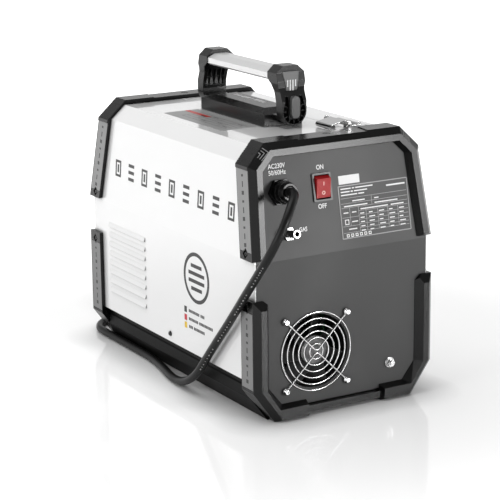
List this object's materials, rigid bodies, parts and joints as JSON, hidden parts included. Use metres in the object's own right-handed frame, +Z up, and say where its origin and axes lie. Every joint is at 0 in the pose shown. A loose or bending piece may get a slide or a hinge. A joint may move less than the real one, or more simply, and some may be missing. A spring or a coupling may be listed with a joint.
{
  "type": "plasma cutter power unit",
  "caption": "Portable inverter plasma cutter unit: white cover, black corner guards, bar handle, draw latch, side door, rear fan, rocker switch, gas inlet and mains lead.",
  "frame": {"origin": "on the floor under the middle of the machine, without its mains lead", "axes": "+Z up, +Y to the rear end with the fan, +X to the louvred side"},
  "size_m": [0.3015, 0.6407, 0.386],
  "materials": {
    "white_paint": "gloss",
    "dark_paint": "satin",
    "panel_paint": "satin",
    "guard_plastic": "satin",
    "inlay_upper": "matte",
    "inlay_lower": "matte",
    "black_screws": "satin",
    "handle_plastic": "satin",
    "grip_aluminium": "satin",
    "insert_plastic": "satin",
    "hinge_steel": "satin",
    "latch_steel": "polished",
    "gland_plastic": "gloss",
    "lead_rubber": "satin",
    "tie_fabric": "matte",
    "switch_plastic": "satin",
    "rocker_red": "gloss",
    "chrome": "polished",
    "hose_rubber": "satin",
    "valve_body": "satin",
    "fan_plastic": "satin",
    "label_foil": "satin",
    "fascia_plastic": "satin",
    "display_red": "gloss",
    "knob_plastic": "satin",
    "button_plastic": "satin",
    "lamp_green": "gloss",
    "socket_plastic": "satin",
    "socket_brass": "satin",
    "socket_nickel": "satin",
    "zinc_plate": "satin",
    "board_green": "satin",
    "sink_aluminium": "satin",
    "module_black": "matte",
    "capacitor_blue": "gloss",
    "core_ferrite": "matte",
    "choke_copper": "satin"
  },
  "bodies": {
    "machine": {"base_tray": "dark_paint", "side_rails": "guard_plastic", "cover": "white_paint", "hinge_leaf_frame": "hinge_steel", "hinge_pin": "hinge_steel", "rear_panel": "panel_paint", "front_panel": "panel_paint", "upper_guard_rear": "guard_plastic", "upper_guard_front": "guard_plastic", "lower_guard_rear": "guard_plastic", "lower_guard_front": "guard_plastic", "upper_inlays": "inlay_upper", "lower_inlays": "inlay_lower", "casing_screws": "black_screws", "handle_base": "handle_plastic", "handle_bracket_rear": "handle_plastic", "handle_bracket_front": "handle_plastic", "handle_grip": "grip_aluminium", "handle_inserts": "insert_plastic", "latch_base": "latch_steel", "gland_body": "gland_plastic", "gland_nut": "gland_plastic", "cord_sleeve": "lead_rubber", "mains_cord": "lead_rubber", "mains_coil": "lead_rubber", "cord_tie": "tie_fabric", "mains_plug": "lead_rubber", "switch_housing": "switch_plastic", "gas_inlet": "chrome", "gas_hose": "hose_rubber", "solenoid_valve": "valve_body", "fan_frame": "fan_plastic", "fan_guard": "chrome", "fan_screws": "chrome", "earth_stud": "chrome", "labels": "label_foil", "control_fascia": "fascia_plastic", "display_window": "display_red", "status_lamps": "lamp_green", "torch_socket": "socket_plastic", "earth_socket": "socket_brass", "control_socket": "socket_nickel", "divider_plate": "zinc_plate", "power_board": "board_green", "heat_sinks": "sink_aluminium", "power_modules": "module_black", "capacitors": "capacitor_blue", "transformer": "core_ferrite", "output_choke": "choke_copper", "control_board": "board_green"},
    "door": {"side_door": "white_paint", "hinge_leaf_door": "hinge_steel", "latch_keeper": "latch_steel"},
    "lever": {"latch_lever": "latch_steel"},
    "bail": {"latch_bail": "latch_steel"},
    "rocker": {"switch_rocker": "rocker_red"},
    "fan": {"fan_rotor": "fan_plastic"},
    "knob": {"current_knob": "knob_plastic"},
    "mode_key": {"mode_button": "button_plastic"},
    "test_key": {"test_button": "button_plastic"}
  },
  "joints": [
    {"name": "door_hinge", "type": "hinge", "parent": "machine", "child": "door", "pos_m": [-0.114, 0, 0.0465], "axis": [0, -1, 0], "range_deg": [0, 92]},
    {"name": "lever_pivot", "type": "hinge", "parent": "machine", "child": "lever", "pos_m": [-0.045, 0.123, 0.321], "axis": [0, -1, 0], "range_deg": [0, 95]},
    {"name": "bail_pivot", "type": "hinge", "parent": "machine", "child": "bail", "pos_m": [-0.045, 0.123, 0.321], "axis": [0, 1, 0], "range_deg": [0, 80]},
    {"name": "rocker_pivot", "type": "hinge", "parent": "machine", "child": "rocker", "pos_m": [0.0202, 0.18777, 0.26163], "axis": [1, 0, 0], "range_deg": [0, 24]},
    {"name": "fan_spin", "type": "hinge", "parent": "machine", "child": "fan", "pos_m": [0.0372, 0.19, 0.0745], "axis": [0, 1, 0], "continuous": true},
    {"name": "knob_turn", "type": "hinge", "parent": "machine", "child": "knob", "pos_m": [0.04, -0.19416, 0.2382], "axis": [0, -0.9831, 0.1829], "range_deg": [-135, 135]},
    {"name": "mode_press", "type": "slide", "parent": "machine", "child": "mode_key", "axis": [0, 0.9831, -0.1829], "range_m": [0, 0.002], "stiffness_N_per_m": 300},
    {"name": "test_press", "type": "slide", "parent": "machine", "child": "test_key", "axis": [0, 0.9831, -0.1829], "range_m": [0, 0.002], "stiffness_N_per_m": 300}
  ]
}
